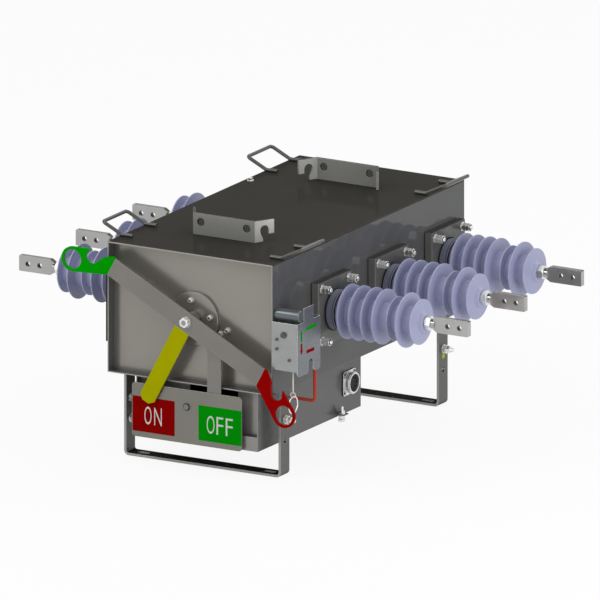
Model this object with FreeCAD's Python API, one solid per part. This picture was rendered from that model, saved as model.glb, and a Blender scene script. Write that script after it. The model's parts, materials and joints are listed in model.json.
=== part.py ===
# Pole-mounted load break switch: sealed tank, six bushings, rotary contacts,
# front hand lever, hanging brackets and strap legs.
# Millimetres. +X towards the bushing terminals on the lock-box side,
# -Y towards the lever, +Z up. Origin on the ground plane at the centre of the
# four base slots.
import FreeCAD
import Part
import math
import os

V = FreeCAD.Vector
PI = math.pi

# tank
tank_w = 504.0
tank_l = 1016.0
tank_h = 358.0
tank_floor = 241.0
wall = 3.0
lid_t = 4.0
tray_depth = 30.0
panel_t = 3.0

# bushings
phase_pitch = 300.0
phase_shift = 83.0
axis_z = 416.0
port_r = 47.0
gasket_t = 3.0
flange_side = 176.0
flange_t = 21.5
stud_pitch = 142.0
stud_r = 6.0
stud_out = 32.0
core_r = 38.8
collar_r = 54.5
ring_r = 56.6
shed_at = [45.8, 80.8, 118.0, 152.1, 189.5, 224.9, 262.0]
shed_r = [74.0, 74.0, 74.0, 74.4, 59.7, 74.0, 61.5]
shed_root = 4.2
shed_rim = 1.5
housing_end = 268.0
conductor_r = 13.0
inner_reach = 140.0
nut_af = 34.0
palm_start = housing_end + 35.0
palm_end = palm_start + 107.0
palm_h = 43.0
palm_t = 15.0
palm_holes = [palm_start + 44.0, palm_start + 80.0]
palm_hole_r = 7.0

# contacts and shafts
blade_end_gap = 8.5
blade_t = 10.0
blade_h = 32.0
blade_gap = 0.1
jaw_t = 6.0
shaft_r = 22.0
lever_shaft_r = 14.0
pilot_r = 10.0
run_fit = 0.05
disc_t = 9.0
barrel_len = 30.0
shaft_reach = 48.0
shaft_gap = 5.0
pilot_len = 30.0
crank_r = 36.0

# lever
lever_tilt = 28.0
lever_stand = 22.0
hub_gap = 2.0
lever_t = 6.0
bar_half = 258.0
bar_w = 54.0
eye_a = 365.5
eye_b = 51.0
eye_hole_r = 26.5
eye_r = 34.0
pointer_w = 47.0
pointer_len = 265.0
pointer_t = 4.0

# brackets, handles, legs
bracket_in = 182.4
bracket_half = 92.0
bracket_h = 58.0
bracket_t = 7.0
hook_at = 28.5
hook_r = 12.9
hook_z = 31.5
mouth_z = 19.6
bracket_hole_x = 70.0
bracket_hole_z = 35.5
bracket_hole_r = 11.0
flange_len = 58.1
flange_flare = 30.0
handle_r = 5.0
handle_in = [188.0, 62.0]
handle_weld = 41.0
handle_out = 50.0
handle_rise = 28.0
leg_inset = 12.5
leg_t = 7.0
leg_w = 46.0
leg_end = 89.0
leg_slot_in = 46.5
slot_len = 36.0
slot_w = 14.0
leg_bolt_z = 155.0
leg_hole_z = 98.0

# under-box
box_gap = 25.0
box_rear = 37.0
box_z = 82.0
box_lip = 39.0
box_t = 2.5
recess = 18.0
plug_up = 81.6
plug_in = 66.0
plate_left = 170.5
plate_right = 165.0
plate_gap = 9.0
plate_t = 3.0
plate_drop = 13.0
lug_in = 122.0
lug_out = 12.5
lug_half = 13.0
lug_z = 88.5
lug_t = 3.0
plate_round = 10.0

# lock pull
guard_out = 78.0
guard_len = 120.0
guard_stand = 2.0
guard_t = 2.5
roller_r = 16.0
roller_in = 24.0
roller_up = 16.5
guard_lobe = 6.0
guard_round = 10.0
pull_out = 53.0
pull_in = 18.0
loop_z = 247.0
ring_big = 23.0
ring_wire = 1.8

half_w = tank_w / 2
half_l = tank_l / 2
lid_z = tank_floor + tank_h
wall_top = lid_z - lid_t
face_x = half_w + gasket_t + flange_t
panel_y = -half_l + tray_depth
phase_y = [phase_shift + phase_pitch * i for i in (-1, 0, 1)]
blade_half = face_x - inner_reach - blade_end_gap
lever_front = half_l + lever_stand
crank_y = panel_y + barrel_len + 2
bracket_y = half_l - bracket_in
handle_y = [half_l - d for d in handle_in]
leg_half = half_w - leg_inset
leg_y = half_l - leg_end
leg_slot_x = leg_half - leg_slot_in
box_right = leg_half - leg_t - box_gap
box_left = plate_left - 6
plug_y = box_rear - plug_in
plug_z = box_z + plug_up
plate_y = -half_l - plate_gap - plate_t
plate_top = tank_floor - plate_drop
plate_bolt_z = tank_floor - 60
guard_x = half_w + guard_out
guard_y0 = -half_l - guard_stand
guard_y1 = guard_y0 + guard_len
guard_low = axis_z - 107
guard_mid = axis_z + 31
guard_top = axis_z + 68
pull_x = half_w + pull_out
pull_y = -half_l + pull_in
SIDES = [("r", 1), ("l", -1)]


def box(x0, x1, y0, y1, z0, z1):
    return Part.makeBox(x1 - x0, y1 - y0, z1 - z0, V(x0, y0, z0))


def cyl(r, length, at, along):
    return Part.makeCylinder(r, length, V(*at), V(*along))


def hexagon(across, height, at, along):
    pts = []
    for k in range(7):
        a = PI / 3 * k
        r = across / math.sqrt(3)
        pts.append(V(r * math.cos(a), r * math.sin(a), 0))
    prism = Part.Face(Part.makePolygon(pts)).extrude(V(0, 0, height))
    turn = FreeCAD.Rotation(V(0, 0, 1), V(*along))
    prism.Placement = FreeCAD.Placement(V(*at), turn)
    return prism


def join(shapes):
    out = shapes[0]
    if len(shapes) > 1:
        out = out.multiFuse(shapes[1:])
    return out.removeSplitter()


def prism_y(points, y0, y1):
    # closed outline in X, Z pushed along +Y
    pts = [V(x, y0, z) for x, z in points]
    return Part.Face(Part.makePolygon(pts + [pts[0]])).extrude(V(0, y1 - y0, 0))


def bent_rod(points, r, bend):
    # round bar along a line of points with rounded corners
    pts = [V(*p) for p in points]
    edges = []
    start = pts[0]
    for k in range(1, len(pts) - 1):
        a = (pts[k - 1] - pts[k]).normalize()
        b = (pts[k + 1] - pts[k]).normalize()
        half = a.getAngle(b) / 2
        back = bend / math.tan(half)
        p = pts[k] + a * back
        q = pts[k] + b * back
        mid_dir = (a + b).normalize()
        mid = pts[k] + mid_dir * (bend / math.sin(half) - bend)
        edges.append(Part.makeLine(start, p))
        edges.append(Part.Arc(p, mid, q).toShape())
        start = q
    edges.append(Part.makeLine(start, pts[-1]))
    path = Part.Wire(edges)
    ring = Part.Wire(Part.makeCircle(r, pts[0], pts[1] - pts[0]))
    return path.makePipeShell([ring], True, False)


def lathe_x(profile, sign, y):
    # profile of (distance out from the flange face, radius), turned about X
    pts = [V(face_x + s, 0, r) for s, r in profile]
    body = Part.Face(Part.makePolygon(pts + [pts[0]])).revolve(V(0, 0, 0), V(1, 0, 0), 360)
    if sign < 0:
        body.rotate(V(0, 0, 0), V(0, 0, 1), 180)
    body.translate(V(0, y, axis_z))
    return body


def tank_body():
    body = box(-half_w, half_w, -half_l, half_l, tank_floor, wall_top)
    room = box(-half_w + wall, half_w - wall, -half_l - 1, half_l - wall,
               tank_floor + wall, wall_top + 1)
    ports = []
    for y in phase_y:
        ports.append(cyl(port_r, tank_w + 20, (-half_w - 10, y, axis_z), (1, 0, 0)))
    return body.cut([room] + ports)


def tank_lid():
    return box(-half_w, half_w, -half_l, half_l, wall_top, lid_z)


def filler_plug():
    at = (20.0 - half_w, 214.0, lid_z)
    return join([cyl(9, 3, at, (0, 0, 1)), hexagon(12, 9, at, (0, 0, 1))])


def front_panel():
    inner = half_w - wall
    sheet = box(-inner, inner, panel_y, panel_y + panel_t, tank_floor + wall, wall_top)
    return sheet.cut(cyl(24, 20, (0, panel_y - 5, axis_z), (0, 1, 0)))


def blank_plate():
    plate = box(-half_w - 5, -half_w, -half_l, -half_l + 96, axis_z - 91, axis_z + 91)
    return plate


def bushing_flange(sign, y):
    # square cover plate over the port
    h = flange_side / 2
    plate = box(half_w + gasket_t, face_x, -h, h, -h, h)
    plate = plate.makeChamfer(2.0, [e for e in plate.Edges
                                    if min(v.X for v in e.Vertexes) > face_x - 1])
    cuts = [cyl(port_r, 60, (half_w - 5, 0, 0), (1, 0, 0))]
    for a in (-1, 1):
        for b in (-1, 1):
            at = (half_w - 5, a * stud_pitch / 2, b * stud_pitch / 2)
            cuts.append(cyl(stud_r + 0.5, 60, at, (1, 0, 0)))
    plate = plate.cut(cuts)
    if sign < 0:
        plate.rotate(V(0, 0, 0), V(0, 0, 1), 180)
    plate.translate(V(0, y, axis_z))
    return plate


def bushing_flanges():
    return Part.makeCompound([bushing_flange(s, y) for _, s in SIDES for y in phase_y])


def bushing_gaskets():
    out = []
    h = flange_side / 2 - 3
    for _, sign in SIDES:
        for y in phase_y:
            pad = box(half_w, half_w + gasket_t, -h, h, -h, h)
            cuts = [cyl(port_r, 20, (half_w - 5, 0, 0), (1, 0, 0))]
            for a in (-1, 1):
                for b in (-1, 1):
                    at = (half_w - 5, a * stud_pitch / 2, b * stud_pitch / 2)
                    cuts.append(cyl(stud_r + 0.5, 20, at, (1, 0, 0)))
            pad = pad.cut(cuts)
            if sign < 0:
                pad.rotate(V(0, 0, 0), V(0, 0, 1), 180)
            pad.translate(V(0, y, axis_z))
            out.append(pad)
    return Part.makeCompound(out)


def flange_studs():
    # welded stud, washer, spring washer and nut: four to each bushing
    out = []
    for _, sign in SIDES:
        for y in phase_y:
            for a in (-1, 1):
                for b in (-1, 1):
                    py = y + a * stud_pitch / 2
                    pz = axis_z + b * stud_pitch / 2
                    d = (sign, 0, 0)
                    long = gasket_t + flange_t + stud_out
                    stack = [cyl(stud_r, long, (sign * half_w, py, pz), d)]
                    f = sign * face_x
                    stack.append(cyl(12, 2.5, (f, py, pz), d))
                    stack.append(cyl(10, 3, (f + sign * 2.5, py, pz), d))
                    stack.append(hexagon(18, 10, (f + sign * 5.5, py, pz), d))
                    stack.append(cyl(8, 5, (f + sign * 21, py, pz), d))
                    out.append(join(stack))
    return Part.makeCompound(out)


def insulator(sign, y):
    # silicone housing: inner cone, seat in the port, collar, seven sheds
    hole = conductor_r
    prof = [(-inner_reach + 30, hole), (-inner_reach + 30, 24), (-60, 40),
            (-flange_t - gasket_t - wall, port_r), (0, port_r), (0, ring_r),
            (3, ring_r), (3, collar_r), (25, collar_r), (28, 50), (33, 50), (33, core_r)]
    for at, r in zip(shed_at, shed_r):
        prof.append((at - shed_root, core_r))
        prof.append((at - shed_rim, r))
        prof.append((at + shed_rim, r))
        prof.append((at + shed_root - 1.5, core_r))
    prof = prof[:-1]
    prof.append((housing_end, 30))
    prof.append((housing_end + 10, 24))
    prof.append((housing_end + 10, hole))
    return lathe_x(prof, sign, y)


def palm_outline():
    h = palm_h / 2
    return [(palm_start, -14), (palm_start + 12, -h), (palm_end - 2, -h), (palm_end, -h + 2),
            (palm_end, h - 2), (palm_end - 2, h), (palm_start + 12, h), (palm_start, 14)]


def terminal(sign, y):
    # one copper piece: rod through the bushing and flat palm outside
    start = face_x - inner_reach
    rod = cyl(conductor_r, inner_reach + palm_start + 4, (start, 0, 0), (1, 0, 0))
    pts = [V(face_x + s, -palm_t / 2, z) for s, z in palm_outline()]
    palm = Part.Face(Part.makePolygon(pts + [pts[0]])).extrude(V(0, palm_t, 0))
    piece = join([rod, palm])
    cuts = []
    for s in palm_holes:
        cuts.append(cyl(palm_hole_r, 40, (face_x + s, -20, 0), (0, 1, 0)))
    piece = piece.cut(cuts)
    if sign < 0:
        piece.rotate(V(0, 0, 0), V(0, 0, 1), 180)
    piece.translate(V(0, y, axis_z))
    return piece


def terminal_nuts():
    out = []
    for _, sign in SIDES:
        for y in phase_y:
            at = (sign * (face_x + housing_end + 10), y, axis_z)
            d = (sign, 0, 0)
            nut = join([cyl(19, 3, at, d), hexagon(nut_af, 15, (at[0] + sign * 3, y, axis_z), d)])
            out.append(nut.cut(cyl(conductor_r, 60, (at[0] - 30, y, axis_z), (1, 0, 0))))
    return Part.makeCompound(out)


def contact_jaws():
    # two fingers on each inner conductor end, gripping the blade from both faces
    out = []
    x0 = face_x - inner_reach
    for _, sign in SIDES:
        for y in phase_y:
            gap = blade_t / 2 + blade_gap
            outer = gap + jaw_t
            block = box(x0 - 4, x0 + 26, -outer, outer, -17, 17)
            fingers = box(x0 - 34, x0 - 4, -outer, outer, -17, 17)
            slot = box(x0 - 40, x0 - 4, -gap, gap, -30, 30)
            jaw = join([block, fingers]).cut(slot)
            jaw = jaw.cut(cyl(conductor_r, 60, (x0, 0, 0), (1, 0, 0)))
            if sign < 0:
                jaw.rotate(V(0, 0, 0), V(0, 0, 1), 180)
            jaw.translate(V(0, y, axis_z))
            out.append(jaw)
    return Part.makeCompound(out)


def moving_blade(y):
    # knife with rounded ends on a split hub, clamped on the shaft
    half = blade_t / 2
    h = blade_h / 2
    bar = box(-blade_half + h, blade_half - h, -half, half, -h, h)
    ends = [cyl(h, blade_t, (s * (blade_half - h), -half, 0), (0, 1, 0)) for s in (-1, 1)]
    hub = cyl(34, 40, (0, -20, 0), (0, 1, 0))
    piece = join([bar, hub] + ends)
    piece = piece.cut(cyl(shaft_r, 60, (0, -30, 0), (0, 1, 0)))
    piece.translate(V(0, y, axis_z))
    return piece


def main_shaft():
    y0 = panel_y + shaft_reach + shaft_gap
    y1 = half_l - wall - 5
    rod = cyl(shaft_r, y1 - y0, (0, y0, axis_z), (0, 1, 0))
    bore = cyl(pilot_r + run_fit, pilot_len - shaft_gap + 7, (0, y0 - 1, axis_z), (0, 1, 0))
    return rod.cut(bore)


def rear_bearing():
    seat = cyl(46, 6, (0, half_l - wall - 6, axis_z), (0, 1, 0))
    nose = cyl(36, 20, (0, half_l - wall - 26, axis_z), (0, 1, 0))
    bore = cyl(shaft_r + run_fit, 60, (0, half_l - wall - 40, axis_z), (0, 1, 0))
    return join([seat, nose]).cut(bore)


def shaft_flange():
    # round bearing flange bolted to the recessed panel
    front = panel_y - disc_t
    disc = cyl(72.6, disc_t, (0, front, axis_z), (0, 1, 0))
    disc = disc.makeChamfer(1.5, [e for e in disc.Edges if abs(e.BoundBox.YMax - front) < 0.01])
    barrel = cyl(24, barrel_len, (0, panel_y, axis_z), (0, 1, 0))
    cuts = [cyl(lever_shaft_r + run_fit, barrel_len + 60, (0, panel_y - 30, axis_z), (0, 1, 0))]
    return join([disc, barrel]).cut(cuts)


def flange_screws():
    out = []
    for k in range(4):
        a = math.radians(100 - 90 * k)
        at = (50 * math.cos(a), panel_y - disc_t, axis_z + 50 * math.sin(a))
        out.append(join([cyl(8, 1.5, at, (0, -1, 0)), hexagon(12, 7, at, (0, -1, 0))]))
    for x, drop in ((76.0, 34.0), (98.0, 22.0)):
        at = (x, panel_y, axis_z - drop)
        out.append(join([cyl(8, 1.5, at, (0, -1, 0)), hexagon(12, 8, at, (0, -1, 0))]))
    return Part.makeCompound(out)


def lever_shaft():
    back = lever_front - lever_t
    end = panel_y + shaft_reach
    stub = cyl(22, back + panel_y - disc_t - hub_gap, (0, -back, axis_z), (0, 1, 0))
    rod = cyl(lever_shaft_r, back + end, (0, -back, axis_z), (0, 1, 0))
    pilot = cyl(pilot_r, pilot_len, (0, end, axis_z), (0, 1, 0))
    return join([stub, rod, pilot])


def pivot_bolt():
    at = (0, -lever_front, axis_z)
    washer = cyl(15, 3, at, (0, -1, 0))
    head = hexagon(24, 10, (0, -lever_front - 3, axis_z), (0, -1, 0))
    return join([washer, head])


def place_on_lever(shape):
    # lever outlines are drawn with the bar along X and the pointer along -Z
    shape.rotate(V(0, 0, 0), V(0, 1, 0), lever_tilt)
    shape.translate(V(0, 0, axis_z))
    return shape


def lever_bar():
    h = bar_w / 2
    plate = box(-bar_half, bar_half, -lever_front, -lever_front + lever_t, -h, h)
    return place_on_lever(plate)


def eye_outline(sign):
    def p(a, b):
        return V(sign * a, -lever_front, -b)
    nose = eye_r * 0.7071
    edges = [
        Part.makeLine(p(bar_half, -27), p(266, -27)),
        Part.makeLine(p(266, -27), p(289, -9)),
        Part.makeLine(p(289, -9), p(302.5, 18)),
        Part.Arc(p(302.5, 18), p(320, 30), p(337.5, 10)).toShape(),
        Part.makeLine(p(337.5, 10), p(331, -6)),
        Part.makeLine(p(331, -6), p(eye_a + 16.5, eye_b - 29.7)),
        Part.Arc(p(eye_a + 16.5, eye_b - 29.7), p(eye_a + nose, eye_b + nose),
                 p(eye_a - 16.0, eye_b + 30.0)).toShape(),
        Part.makeLine(p(eye_a - 16.0, eye_b + 30.0), p(bar_half, 27)),
        Part.makeLine(p(bar_half, 27), p(bar_half, -27)),
    ]
    return Part.Wire(edges)


def lever_eye(sign):
    plate = Part.Face(eye_outline(sign)).extrude(V(0, lever_t, 0))
    hole = cyl(eye_hole_r, 40, (sign * eye_a, -lever_front - 20, -eye_b), (0, 1, 0))
    return place_on_lever(plate.cut(hole))


def pointer():
    w = pointer_w / 2
    c = 13.0
    pts = [(-w, -bar_w / 2), (w, -bar_w / 2), (w, -pointer_len + c), (w - c, -pointer_len),
           (-w + c, -pointer_len), (-w, -pointer_len + c)]
    return place_on_lever(prism_y(pts, -lever_front, -lever_front + pointer_t))


def drive_crank():
    y0 = crank_y
    hub = cyl(24, 12, (0, y0, axis_z), (0, 1, 0))
    arm = box(-11, 11, y0, y0 + 12, -crank_r, 0)
    arm = place_on_lever(arm)
    a = math.radians(lever_tilt)
    px = -crank_r * math.sin(a)
    pz = axis_z - crank_r * math.cos(a)
    tip = cyl(11, 12, (px, y0, pz), (0, 1, 0))
    pin = cyl(5, 16, (px, y0 + 12, pz), (0, 1, 0))
    crank = join([hub, arm, tip]).cut(cyl(lever_shaft_r, 40, (0, y0 - 10, axis_z), (0, 1, 0)))
    return join([crank, pin])


def toggle_spring():
    # spring cartridge between the crank pin and the floor anchor
    a = math.radians(lever_tilt)
    mid = crank_y + 19
    top = V(-crank_r * math.sin(a), mid, axis_z - crank_r * math.cos(a))
    low = V(0, mid, tank_floor + wall + 20)
    d = (top - low).normalize()
    span = (top - low).Length
    eye_top = cyl(9, 10, (top.x, mid - 5, top.z), (0, 1, 0))
    eye_low = cyl(9, 10, (0, mid - 5, low.z), (0, 1, 0))
    rod = Part.makeCylinder(4, span, low, d)
    tube = Part.makeCylinder(11, span - 48, low + d * 20, d)
    body = join([eye_top, eye_low, rod, tube])
    holes = [cyl(5, 40, (x, mid - 23, z), (0, 1, 0)) for x, z in ((top.x, top.z), (0, low.z))]
    return body.cut(holes)


def spring_anchor():
    z0 = tank_floor + wall
    foot = box(-22, 22, crank_y - 1, crank_y + 39, z0, z0 + 5)
    ears = [box(-12, 12, crank_y + d, crank_y + d + 5, z0, z0 + 32) for d in (6, 27)]
    pin = cyl(5, 34, (0, crank_y + 2, z0 + 20), (0, 1, 0))
    return join([foot] + ears + [pin])


def bracket_flange_profile():
    # side view of one hooked end: s along the flange, z up from the lid
    near = hook_at - hook_r
    pts = [(0, 0), (near + 9, 0), (near + 8.2, 8), (near + 5, 15), (near + 1.5, 22), (near, hook_z)]
    top = []
    for k in range(1, 8):
        a = PI - PI * k / 8
        top.append((hook_at + hook_r * math.cos(a), hook_z + hook_r * math.sin(a)))
    far = hook_at + hook_r
    end = [(far, hook_z), (far, mouth_z), (flange_len, mouth_z), (flange_len, bracket_h), (0, bracket_h)]
    return pts + top + end


def hook_bracket(facing):
    # facing +1: hooks run towards +Y
    t = bracket_t
    plate = box(-bracket_half, bracket_half, -t / 2, t / 2, 0, bracket_h)
    holes = [cyl(bracket_hole_r, 40, (s * bracket_hole_x, -20, bracket_hole_z), (0, 1, 0))
             for s in (-1, 1)]
    plate = plate.cut(holes)
    parts = [plate]
    for s in (-1, 1):
        pts = [V(x, 0, z) for x, z in bracket_flange_profile()]
        ear = Part.Face(Part.makePolygon(pts + [pts[0]])).extrude(V(0, t, 0))
        ear.translate(V(0, -t / 2, 0))
        turn = 90 - flange_flare if s > 0 else 90 + flange_flare
        ear.rotate(V(0, 0, 0), V(0, 0, 1), turn)
        ear.translate(V(s * bracket_half, 0, 0))
        parts.append(ear)
        parts.append(cyl(t / 2, bracket_h, (s * bracket_half, 0, 0), (0, 0, 1)))
    out = join(parts)
    if facing < 0:
        out.rotate(V(0, 0, 0), V(0, 0, 1), 180)
    out.translate(V(0, -facing * bracket_y, lid_z))
    return out


def lifting_handle(sx, sy):
    z0 = lid_z + handle_r
    y0, y1 = [sy * y for y in handle_y]
    inner = sx * (half_w - handle_weld)
    edge = sx * (half_w - 7)
    outer = sx * (half_w + handle_out)
    z1 = z0 + handle_rise
    pts = [(inner, y0, z0), (edge, y0, z0), (outer, y0, z1),
           (outer, y1, z1), (edge, y1, z0), (inner, y1, z0)]
    return bent_rod(pts, handle_r, 9.0)


def leg(sy):
    # flat strap bent to a U: two posts up to the tank floor, slotted foot
    y0 = sy * leg_y - leg_w / 2
    outer = box(-leg_half, leg_half, y0, y0 + leg_w, 0, tank_floor)
    outer = outer.makeFillet(14.0, [e for e in outer.Edges if e.BoundBox.ZMax < 0.01
                                    and e.BoundBox.XLength < 0.01])
    i = leg_half - leg_t
    inner = box(-i, i, y0 - 1, y0 + leg_w + 1, leg_t, tank_floor + 1)
    inner = inner.makeFillet(7.0, [e for e in inner.Edges if abs(e.BoundBox.ZMax - leg_t) < 0.01
                                   and e.BoundBox.XLength < 0.01])
    strap = outer.cut(inner)
    cuts = []
    for s in (-1, 1):
        r = slot_w / 2
        run = slot_len / 2 - r
        x = s * leg_slot_x
        cuts.append(box(x - run, x + run, sy * leg_y - r, sy * leg_y + r, -5, 15))
        for e in (-1, 1):
            cuts.append(cyl(r, 20, (x + e * run, sy * leg_y, -5), (0, 0, 1)))
        for z, hr in ((leg_bolt_z, 6.5), (leg_hole_z, 7.0)):
            cuts.append(cyl(hr, 30, (s * leg_half - 15, sy * leg_y, z), (1, 0, 0)))
    return strap.cut(cuts)


def leg_bolts():
    # right posts: earth bolt with head inside, washers and nut outside
    # left posts: two screws from inside, flush with the strap outside
    out = []
    for sy in (-1, 1):
        y = sy * leg_y
        inner = leg_half - leg_t
        d = (1, 0, 0)
        stack = [cyl(6, leg_t + 31, (inner, y, leg_bolt_z), d)]
        stack.append(hexagon(18, 8, (inner - 8, y, leg_bolt_z), d))
        stack.append(cyl(12, 3, (leg_half, y, leg_bolt_z), d))
        stack.append(cyl(12, 3, (leg_half + 8, y, leg_bolt_z), d))
        stack.append(hexagon(18, 10, (leg_half + 11, y, leg_bolt_z), d))
        out.append(join(stack))
        for z in (leg_bolt_z, leg_hole_z):
            screw = [cyl(6, leg_t, (-leg_half, y, z), d),
                     cyl(12, 2.5, (-inner, y, z), d),
                     hexagon(18, 8, (2.5 - inner, y, z), d)]
            out.append(join(screw))
    return Part.makeCompound(out)


def under_box():
    # open-fronted housing below the tank, with a recessed bulkhead behind its mouth
    t = box_t
    shell = box(-box_left, box_right, -half_l, box_rear, box_z, tank_floor)
    back = -half_l + recess
    bay = box(-box_left + t, box_right - t, -half_l + t, back, box_z + t, tank_floor + 1)
    room = box(-box_left + t, box_right - t, back + t, box_rear - t, box_z + t, tank_floor + 1)
    mouth = box(-box_left + t, box_right - t, -half_l - 1, -half_l + t + 1,
                box_z + box_lip, tank_floor + 1)
    slot = box(-10, 137, back - 1, back + t + 1, plate_top - 12, tank_floor + 1)
    port = cyl(24, 20, (box_right - 10, plug_y, plug_z), (1, 0, 0))
    tab = box(-18, 12, -half_l, -half_l + t, box_z + box_lip, plate_bolt_z + 14)
    hole = cyl(5, 20, (-3, -half_l - 10, plate_bolt_z), (0, 1, 0))
    # small lug low on the side for the earth bolt
    y = box_rear - lug_in
    lug = box(box_right - 1, box_right + lug_out + lug_half, y - lug_half, y + lug_half, lug_z, lug_z + lug_t)
    lug_hole = cyl(5.5, 20, (box_right + lug_out, y, lug_z - 10), (0, 0, 1))
    return join([shell.cut([bay, room, mouth, slot, port]), tab, lug]).cut([hole, lug_hole])


def aux_switch():
    # cam switch block inside the housing
    z = box_z + box_t
    y = box_rear - 153
    block = box(30, 110, y, y + 100, z, z + 62)
    shaft = cyl(6, 130, (70, y - 15, z + 40), (0, 1, 0))
    return join([block, shaft])


def indicator_plate():
    # sheet with rounded corners
    low = box_z - 2
    sheet = box(-plate_left, plate_right, plate_y, plate_y + plate_t, low, plate_top)
    corners = [e for e in sheet.Edges if e.BoundBox.XLength < 0.01 and e.BoundBox.ZLength < 0.01]
    sheet = sheet.makeFillet(plate_round, corners)
    return sheet.cut(cyl(5, 20, (-3, plate_y - 10, plate_bolt_z), (0, 1, 0)))


def plate_bolt():
    # round head on a washer, spacer behind the plate, nut behind the tab
    back = plate_y + plate_t
    tab_back = box_t - half_l
    z = plate_bolt_z
    return join([cyl(5, tab_back - plate_y + 6, (-3, plate_y, z), (0, 1, 0)),
                 cyl(10.5, 1.5, (-3, plate_y, z), (0, -1, 0)),
                 cyl(7.5, 3, (-3, plate_y - 1.5, z), (0, -1, 0)),
                 cyl(8, plate_gap, (-3, back, z), (0, 1, 0)),
                 hexagon(13, 6, (-3, tab_back, z), (0, 1, 0))])


def indicator_strap():
    # hanger behind the lever, on two posts from the panel
    y0 = plate_y + plate_t
    sheet = box(58, 99.5, y0, y0 + plate_t, tank_floor - 29, axis_z - 32)
    length = panel_y - y0 - plate_t
    posts = [cyl(8, length, (79, y0 + plate_t, axis_z - d), (0, 1, 0)) for d in (94.0, 66.0)]
    return join([sheet] + posts)


def connector_shell():
    z = plug_z
    h = 33.0
    x = box_right
    plate = box(x, x + 4, plug_y - h, plug_y + h, z - h, z + h)
    plate = plate.makeChamfer(5.0, [e for e in plate.Edges
                                    if e.BoundBox.YLength < 0.01 and e.BoundBox.ZLength < 0.01])
    barrel = cyl(28, 16, (x + 4, plug_y, z), (1, 0, 0))
    lip = cyl(30, 4, (x + 13, plug_y, z), (1, 0, 0))
    well = cyl(24, 60, (x - 10, plug_y, z), (1, 0, 0))
    return join([plate, barrel, lip]).cut(well)


def connector_insert():
    z = plug_z
    disc = cyl(24, 10, (box_right + 1, plug_y, z), (1, 0, 0))
    parts = [disc]
    for k in range(8):
        a = PI / 4 * k
        at = (box_right + 11, plug_y + 15 * math.cos(a), z + 15 * math.sin(a))
        parts.append(cyl(1.5, 7, at, (1, 0, 0)))
    return join(parts)


def earth_lug_bolt():
    # upright bolt through the lug: nut and washer above, washer, nut and head below
    x = box_right + lug_out
    y = box_rear - lug_in
    top = lug_z + lug_t
    up = (0, 0, 1)
    return join([cyl(5, 35, (x, y, lug_z - 12), up), cyl(10, 2, (x, y, top), up),
                 hexagon(16, 8, (x, y, top + 2), up), cyl(10, 2, (x, y, lug_z - 2), up),
                 hexagon(16, 8, (x, y, lug_z - 10), up), hexagon(17, 7, (x, y, lug_z - 18), up)])


def lock_box():
    # bent sheet guard, open above and below, on the tank side
    t = guard_t
    x1 = guard_x
    y0, y1 = guard_y0, guard_y1
    # the front sheet ends above the lobes of the side sheet
    low = guard_low + 7
    front = box(half_w, x1, y0, y0 + t, low, guard_mid)
    corner = cyl(14, t, (half_w + 14, y0, low + 14), (0, 1, 0))
    square = box(half_w, half_w + 14, y0, y0 + t, low, low + 14)
    front = join([front.cut(square), corner])
    # the side sheet rises to a tab, and is notched below for the red rod
    low = guard_low - guard_lobe
    side = box(x1 - t, x1, y0, y1, low, guard_mid)
    notch = box(x1 - 10, x1 + 1, y0 + 59, y0 + 83, low - 5, guard_low + 19)
    arch = cyl(12, 20, (x1 - 10, y0 + 71, guard_low + 19), (1, 0, 0))
    side = side.cut([notch, arch])
    side = side.makeFillet(guard_round, [e for e in side.Edges if e.BoundBox.ZMax < low + 0.01
                                         and e.BoundBox.YLength < 0.01])
    tab = box(x1 - t, x1, y0 + 34, y1 - 35, guard_mid - 10, guard_top)
    back = box(half_w, x1, y1 - t, y1, guard_low + 9, guard_mid)
    foot = box(half_w, half_w + t, y1 - 40, y1, guard_low + 31, guard_mid)
    return join([front, side, tab, back, foot])


def guard_roller():
    # polished bar across the top of the guard, welded between tank and side sheet
    at = (half_w, guard_y0 + roller_in, guard_mid + roller_up)
    bar = cyl(roller_r, guard_out - guard_t, at, (1, 0, 0))
    return bar.makeFillet(3.0, [e for e in bar.Edges if e.BoundBox.XLength < 0.01])


def lock_screws():
    out = []
    y = guard_y0
    big = (half_w + 36, y, axis_z - 2)
    out.append(join([cyl(9, 2, big, (0, -1, 0)), hexagon(13, 8, big, (0, -1, 0))]))
    for dx, dz in ((15, -16), (15, -42), (53, -69)):
        out.append(cyl(4, 4, (half_w + dx, y, axis_z + dz), (0, -1, 0)))
    return Part.makeCompound(out)


def lock_slide():
    # red indicator rod and thin pull rod on one cross bar inside the guard
    rod_x = guard_x - 12
    rod_y = guard_y1 - 8
    bar_z = axis_z - 56
    low = axis_z - 204
    red = bent_rod([(rod_x, rod_y, bar_z), (rod_x, rod_y, low), (half_w - 8, rod_y, low)], 4.5, 9.0)
    bar = box(pull_x - 5, guard_x - guard_t - 0.3, guard_y0 + 16, guard_y1 - 4, bar_z - 4, bar_z + 4)
    pull = cyl(2, bar_z - loop_z - 7, (pull_x, pull_y, loop_z + 7), (0, 0, 1))
    loop = Part.makeTorus(7, 1.6, V(pull_x, pull_y, loop_z), V(0, 1, 0))
    return join([red, bar, pull, loop])


def lock_ring():
    at = V(pull_x, pull_y, loop_z - ring_big - 3.5)
    return Part.makeTorus(ring_big, ring_wire, at, V(1, 0, 0))


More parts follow.
